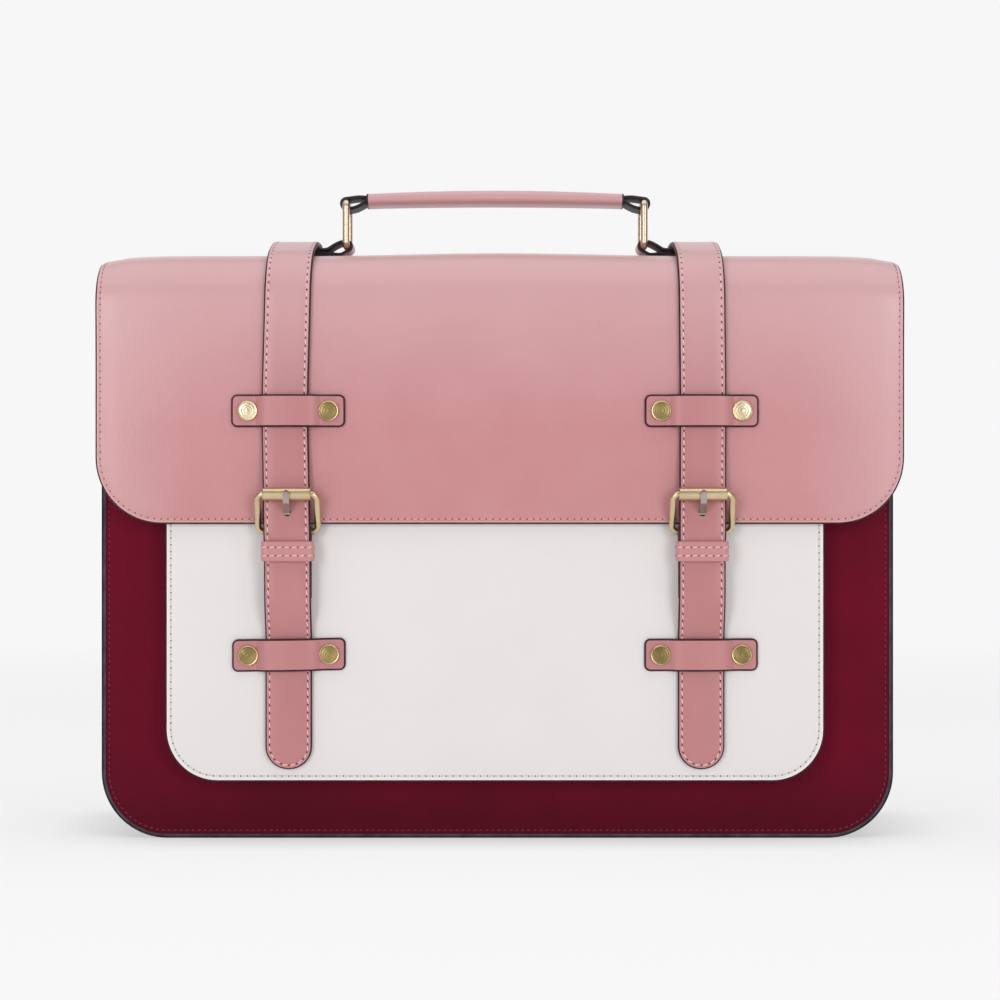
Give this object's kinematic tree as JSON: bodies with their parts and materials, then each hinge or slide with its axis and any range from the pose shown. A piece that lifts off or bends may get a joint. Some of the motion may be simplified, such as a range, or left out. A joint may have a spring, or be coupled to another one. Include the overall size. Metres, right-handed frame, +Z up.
{
  "type": "satchel bag",
  "caption": "Leather satchel with a front flap, strap and roller buckle closures, riveted keepers, a front pocket and a top handle on metal rings.",
  "frame": {"origin": "middle of the flat base that the bag stands on", "axes": "+X across the bag to its right seen from the front, -Y out of the front flap, +Z up"},
  "size_m": [0.4, 0.1427, 0.3297],
  "materials": {
    "burgundy_leather": "satin",
    "pink_leather": "satin",
    "white_leather": "satin",
    "lining_cloth": "matte",
    "lining_suede": "matte",
    "board": "matte",
    "filler": "matte",
    "antique_brass": "satin",
    "pale_brass": "satin",
    "prong_metal": "satin",
    "snap_metal": "satin",
    "pink_thread": "matte",
    "crimson_thread": "matte",
    "grey_thread": "matte",
    "edge_paint": "satin"
  },
  "bodies": {
    "bag": {"front_panel": "burgundy_leather", "back_panel": "burgundy_leather", "gusset": "burgundy_leather", "bottom_board": "board", "lining": "lining_cloth", "pocket_panel": "white_leather", "pocket_gusset": "white_leather", "left_lower_keeper": "pink_leather", "right_lower_keeper": "pink_leather", "pocket_rivets": "antique_brass", "snap_sockets": "snap_metal", "flap_anchor": "pink_leather", "left_strap_anchor": "pink_leather", "right_strap_anchor": "pink_leather", "back_rivets": "antique_brass"},
    "flap": {"flap_panel": "pink_leather", "flap_lining": "lining_suede", "flap_bend": "pink_leather", "left_strap": "pink_leather", "right_strap": "pink_leather", "left_strap_bend": "pink_leather", "right_strap_bend": "pink_leather", "left_strap_tail": "pink_leather", "right_strap_tail": "pink_leather", "left_upper_keeper": "pink_leather", "right_upper_keeper": "pink_leather", "flap_rivets": "antique_brass", "left_chape": "pink_leather", "right_chape": "pink_leather", "left_small_keeper": "pink_leather", "right_small_keeper": "pink_leather", "snap_studs": "snap_metal", "left_handle_tab": "pink_leather", "right_handle_tab": "pink_leather"},
    "handle": {"handle_core": "pink_leather", "handle_filler": "filler", "handle_grip": "pink_leather"},
    "left_tip": {"left_strap_tip": "pink_leather"},
    "left_buckle": {"left_buckle_frame": "pale_brass"},
    "left_roller": {"left_roller": "pale_brass"},
    "left_prong": {"left_prong": "prong_metal"},
    "left_ring": {"left_ring": "pale_brass"},
    "right_tip": {"right_strap_tip": "pink_leather"},
    "right_buckle": {"right_buckle_frame": "pale_brass"},
    "right_roller": {"right_roller": "pale_brass"},
    "right_prong": {"right_prong": "prong_metal"},
    "right_ring": {"right_ring": "pale_brass"}
  },
  "joints": [
    {"name": "flap_hinge", "type": "hinge", "parent": "bag", "child": "flap", "pos_m": [0, 0.0501, 0.2889], "axis": [-1, 0, 0], "range_deg": [0, 120], "deforming": ["flap_bend", "left_strap_bend", "right_strap_bend", "left_strap_tail", "right_strap_tail"]},
    {"name": "left_tip_lift", "type": "hinge", "parent": "flap", "child": "left_tip", "pos_m": [-0.102, -0.066, 0.0795], "axis": [-1, 0, 0], "range_deg": [0, 70]},
    {"name": "left_buckle_tilt", "type": "hinge", "parent": "flap", "child": "left_buckle", "pos_m": [-0.102, -0.0692, 0.1535], "axis": [1, 0, 0], "range_deg": [0, 8]},
    {"name": "left_roller_spin", "type": "hinge", "parent": "left_buckle", "child": "left_roller", "pos_m": [-0.102, -0.0773, 0.1721], "axis": [1, 0, 0], "continuous": true},
    {"name": "left_prong_lift", "type": "hinge", "parent": "left_buckle", "child": "left_prong", "pos_m": [-0.102, -0.0692, 0.1535], "axis": [1, 0, 0], "range_deg": [0, 10]},
    {"name": "right_tip_lift", "type": "hinge", "parent": "flap", "child": "right_tip", "pos_m": [0.102, -0.066, 0.0795], "axis": [-1, 0, 0], "range_deg": [0, 70]},
    {"name": "right_buckle_tilt", "type": "hinge", "parent": "flap", "child": "right_buckle", "pos_m": [0.102, -0.0692, 0.1535], "axis": [1, 0, 0], "range_deg": [0, 8]},
    {"name": "right_roller_spin", "type": "hinge", "parent": "right_buckle", "child": "right_roller", "pos_m": [0.102, -0.0773, 0.1721], "axis": [1, 0, 0], "continuous": true},
    {"name": "right_prong_lift", "type": "hinge", "parent": "right_buckle", "child": "right_prong", "pos_m": [0.102, -0.0692, 0.1535], "axis": [1, 0, 0], "range_deg": [0, 10]},
    {"name": "left_ring_swing", "type": "hinge", "parent": "flap", "child": "left_ring", "pos_m": [-0.0767, -0.008, 0.3002], "axis": [0, 1, 0], "range_deg": [-60, 60]},
    {"name": "right_ring_swing", "type": "hinge", "parent": "flap", "child": "right_ring", "pos_m": [0.0767, -0.008, 0.3002], "axis": [0, 1, 0], "range_deg": [-60, 60]},
    {"name": "handle_swing", "type": "hinge", "parent": "left_ring", "child": "handle", "pos_m": [-0.0767, -0.008, 0.3222], "axis": [0, 1, 0], "range_deg": [-60, 60]}
  ],
  "couplings": [
    {"joint": "right_ring_swing", "follows": "left_ring_swing", "ratio": 1},
    {"joint": "handle_swing", "follows": "left_ring_swing", "ratio": -1}
  ]
}
